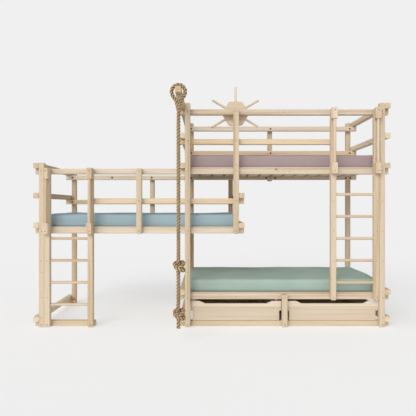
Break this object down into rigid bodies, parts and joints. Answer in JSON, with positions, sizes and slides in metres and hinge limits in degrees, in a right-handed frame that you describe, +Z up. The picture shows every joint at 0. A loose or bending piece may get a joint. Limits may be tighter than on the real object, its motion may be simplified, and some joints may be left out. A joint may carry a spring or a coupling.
{
  "type": "triple bunk bed",
  "caption": "Triple bunk bed of bolted square timber with an offset side bed, ladders, drawers, a steering wheel and a climbing rope on a crane beam.",
  "frame": {"origin": "on the floor, in the middle of the outline", "axes": "+X along the beds to the right, +Y to the back, +Z up"},
  "size_m": [3.6108, 1.7734, 2.4605],
  "materials": {
    "pine": "oiled softwood with knots",
    "sage_cover": "woven cotton cover",
    "mauve_cover": "woven cotton cover",
    "blue_cover": "woven cotton cover",
    "rope": "three-strand natural rope",
    "bolt_steel": "zinc plated",
    "brown_cap": "satin"
  },
  "bodies": {
    "frame": {"tower_post_front_left": "pine", "tower_post_back_left": "pine", "tower_post_front_right": "pine", "tower_post_back_right": "pine", "hanging_post_front": "pine", "hanging_post_back": "pine", "guard_post_back": "pine", "centre_feet": "pine", "side_post_front": "pine", "side_post_back": "pine", "side_guard_posts": "pine", "floor_rails": "pine", "low_bed_rails": "pine", "high_bed_rails": "pine", "high_guard_rails_middle": "pine", "high_guard_rails_top": "pine", "side_bed_rails": "pine", "side_guard_rails_middle": "pine", "side_guard_rails_top": "pine", "side_floor_rails": "pine", "tower_cross_beams_left": "pine", "tower_cross_beams_right": "pine", "side_cross_beams_left": "pine", "side_cross_beams_right": "pine", "crane_beam": "pine", "mattress_strips": "pine", "slat_cleats": "pine", "cleat_screws": "brown_cap", "low_bed_slats": "pine", "high_bed_slats": "pine", "side_bed_slats": "pine", "low_bed_mattress": "sage_cover", "high_bed_mattress": "mauve_cover", "side_bed_mattress": "blue_cover", "side_ladder_stiles": "pine", "side_ladder_rungs": "pine", "tower_ladder_stiles": "pine", "tower_ladder_rungs": "pine", "handle_blocks": "pine", "handle_bars": "pine", "bolt_heads": "bolt_steel", "bolt_caps": "brown_cap", "drawer_runners": "pine", "wheel_spacer": "pine", "wheel_screw": "bolt_steel"},
    "drawer_left": {"drawer_left_front": "pine", "drawer_left_sides": "pine", "drawer_left_back": "pine", "drawer_left_bottom": "pine"},
    "drawer_right": {"drawer_right_front": "pine", "drawer_right_sides": "pine", "drawer_right_back": "pine", "drawer_right_bottom": "pine"},
    "steering_wheel": {"wheel_plate": "pine", "wheel_spokes": "pine"},
    "rope": {"climbing_rope": "rope", "rope_knots": "rope"}
  },
  "joints": [
    {"name": "drawer_left_slide", "type": "slide", "parent": "frame", "child": "drawer_left", "axis": [0, -1, 0], "range_m": [0, 0.65]},
    {"name": "drawer_right_slide", "type": "slide", "parent": "frame", "child": "drawer_right", "axis": [0, -1, 0], "range_m": [0, 0.65]},
    {"name": "wheel_spin", "type": "hinge", "parent": "frame", "child": "steering_wheel", "pos_m": [0.24563, -0.13275, 2.1845], "axis": [0, 1, 0], "continuous": true},
    {"name": "rope_swing", "type": "hinge", "parent": "frame", "child": "rope", "pos_m": [-0.30062, -0.82675, 2.23075], "axis": [0, 1, 0], "range_deg": [-30, 30]}
  ]
}
